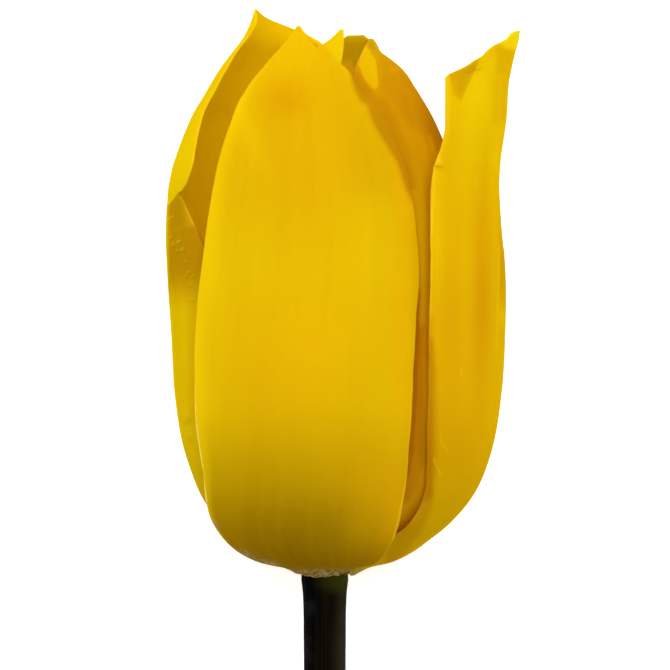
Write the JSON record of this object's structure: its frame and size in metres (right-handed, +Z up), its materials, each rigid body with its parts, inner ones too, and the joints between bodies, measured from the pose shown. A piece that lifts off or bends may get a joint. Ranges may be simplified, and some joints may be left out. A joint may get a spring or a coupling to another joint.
{
  "type": "cut tulip flower",
  "caption": "Cut tulip lying on a surface: a closed cup of broad pointed petals round its pistil and stamens, on a bare round stem.",
  "frame": {"origin": "middle of the bounding box at the height of the surface it lies on", "axes": "+Z up from the surface, +Y along the flower from the cut end of the stem towards the petal tips, +X to the right when seen from above with the tips pointing away"},
  "size_m": [0.048, 0.1875, 0.0442],
  "materials": {
    "outer_petal": "satin",
    "inner_petal": "satin",
    "stem": "satin",
    "pistil": "satin",
    "stamen": "matte"
  },
  "bodies": {
    "root": {"outer_petal_front": "outer_petal", "outer_petal_right": "outer_petal", "outer_petal_left": "outer_petal", "inner_petal_right": "inner_petal", "inner_petal_left": "inner_petal", "inner_petal_back": "inner_petal", "stem": "stem", "pistil": "pistil", "stamen_1": "stamen", "stamen_2": "stamen", "stamen_3": "stamen", "stamen_4": "stamen", "stamen_5": "stamen", "stamen_6": "stamen"}
  },
  "joints": []
}
